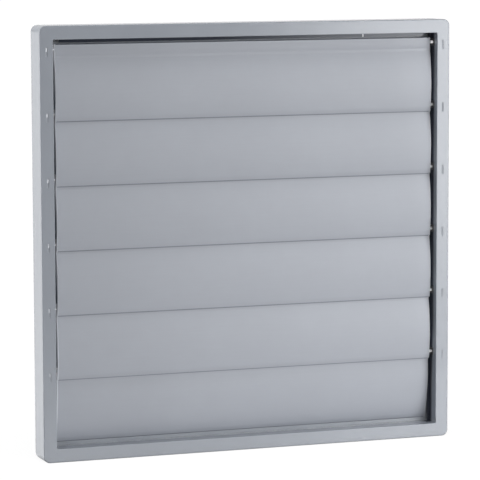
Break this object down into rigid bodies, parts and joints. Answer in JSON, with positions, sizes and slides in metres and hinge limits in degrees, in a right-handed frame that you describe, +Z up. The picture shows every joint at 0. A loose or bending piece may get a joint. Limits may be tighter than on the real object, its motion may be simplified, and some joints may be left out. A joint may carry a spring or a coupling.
{
  "type": "exhaust fan shutter",
  "caption": "Square wall shutter for an exhaust fan, with a moulded frame and overlapping cambered blades that swing open together and fall closed.",
  "frame": {"origin": "centre of the rear rim's plane, between the four corner screw holes", "axes": "+X to the right seen from the front, +Y from front to rear, +Z up"},
  "size_m": [0.66, 0.0465, 0.654],
  "materials": {
    "frame_plastic": "light grey moulded plastic, fine spark texture",
    "blade_plastic": "light grey extruded plastic, satin",
    "cap_plastic": "pale grey moulded nylon",
    "bush_nylon": "dark grey nylon",
    "bar_aluminium": "mill finish flat bar",
    "pin_steel": "plain stainless steel"
  },
  "bodies": {
    "frame": {"frame": "frame_plastic", "bush_left_1": "bush_nylon", "bush_right_1": "bush_nylon", "bush_left_2": "bush_nylon", "bush_right_2": "bush_nylon", "bush_left_3": "bush_nylon", "bush_right_3": "bush_nylon", "bush_left_4": "bush_nylon", "bush_right_4": "bush_nylon", "bush_left_5": "bush_nylon", "bush_right_5": "bush_nylon", "bush_left_6": "bush_nylon", "bush_right_6": "bush_nylon"},
    "blade_1_body": {"blade_1": "blade_plastic", "end_cap_left_1": "cap_plastic", "end_cap_right_1": "cap_plastic", "tie_bracket_1": "cap_plastic", "tie_pin_1": "pin_steel"},
    "blade_2_body": {"blade_2": "blade_plastic", "end_cap_left_2": "cap_plastic", "end_cap_right_2": "cap_plastic", "tie_bracket_2": "cap_plastic", "tie_pin_2": "pin_steel"},
    "blade_3_body": {"blade_3": "blade_plastic", "end_cap_left_3": "cap_plastic", "end_cap_right_3": "cap_plastic", "tie_bracket_3": "cap_plastic", "tie_pin_3": "pin_steel"},
    "blade_4_body": {"blade_4": "blade_plastic", "end_cap_left_4": "cap_plastic", "end_cap_right_4": "cap_plastic", "tie_bracket_4": "cap_plastic", "tie_pin_4": "pin_steel"},
    "blade_5_body": {"blade_5": "blade_plastic", "end_cap_left_5": "cap_plastic", "end_cap_right_5": "cap_plastic", "tie_bracket_5": "cap_plastic", "tie_pin_5": "pin_steel"},
    "blade_6_body": {"blade_6": "blade_plastic", "end_cap_left_6": "cap_plastic", "end_cap_right_6": "cap_plastic", "tie_bracket_6": "cap_plastic", "tie_pin_6": "pin_steel"},
    "tie_bar_body": {"tie_bar": "bar_aluminium"}
  },
  "joints": [
    {"name": "blade_1_pivot", "type": "hinge", "parent": "frame", "child": "blade_1_body", "pos_m": [0, -0.03, 0.2915], "axis": [-1, 0, 0], "range_deg": [0, 80]},
    {"name": "blade_2_pivot", "type": "hinge", "parent": "frame", "child": "blade_2_body", "pos_m": [0, -0.03, 0.1945], "axis": [-1, 0, 0], "range_deg": [0, 80]},
    {"name": "blade_3_pivot", "type": "hinge", "parent": "frame", "child": "blade_3_body", "pos_m": [0, -0.03, 0.0975], "axis": [-1, 0, 0], "range_deg": [0, 80]},
    {"name": "blade_4_pivot", "type": "hinge", "parent": "frame", "child": "blade_4_body", "pos_m": [0, -0.03, 0.0005], "axis": [-1, 0, 0], "range_deg": [0, 80]},
    {"name": "blade_5_pivot", "type": "hinge", "parent": "frame", "child": "blade_5_body", "pos_m": [0, -0.03, -0.0965], "axis": [-1, 0, 0], "range_deg": [0, 80]},
    {"name": "blade_6_pivot", "type": "hinge", "parent": "frame", "child": "blade_6_body", "pos_m": [0, -0.03, -0.1935], "axis": [-1, 0, 0], "range_deg": [0, 80]},
    {"name": "tie_bar_link", "type": "hinge", "parent": "blade_1_body", "child": "tie_bar_body", "pos_m": [0, -0.00874, 0.3001], "axis": [-1, 0, 0], "range_deg": [-80, 0]}
  ],
  "couplings": [
    {"joint": "blade_2_pivot", "follows": "blade_1_pivot", "ratio": 1},
    {"joint": "blade_3_pivot", "follows": "blade_1_pivot", "ratio": 1},
    {"joint": "blade_4_pivot", "follows": "blade_1_pivot", "ratio": 1},
    {"joint": "blade_5_pivot", "follows": "blade_1_pivot", "ratio": 1},
    {"joint": "blade_6_pivot", "follows": "blade_1_pivot", "ratio": 1},
    {"joint": "tie_bar_link", "follows": "blade_1_pivot", "ratio": -1}
  ]
}
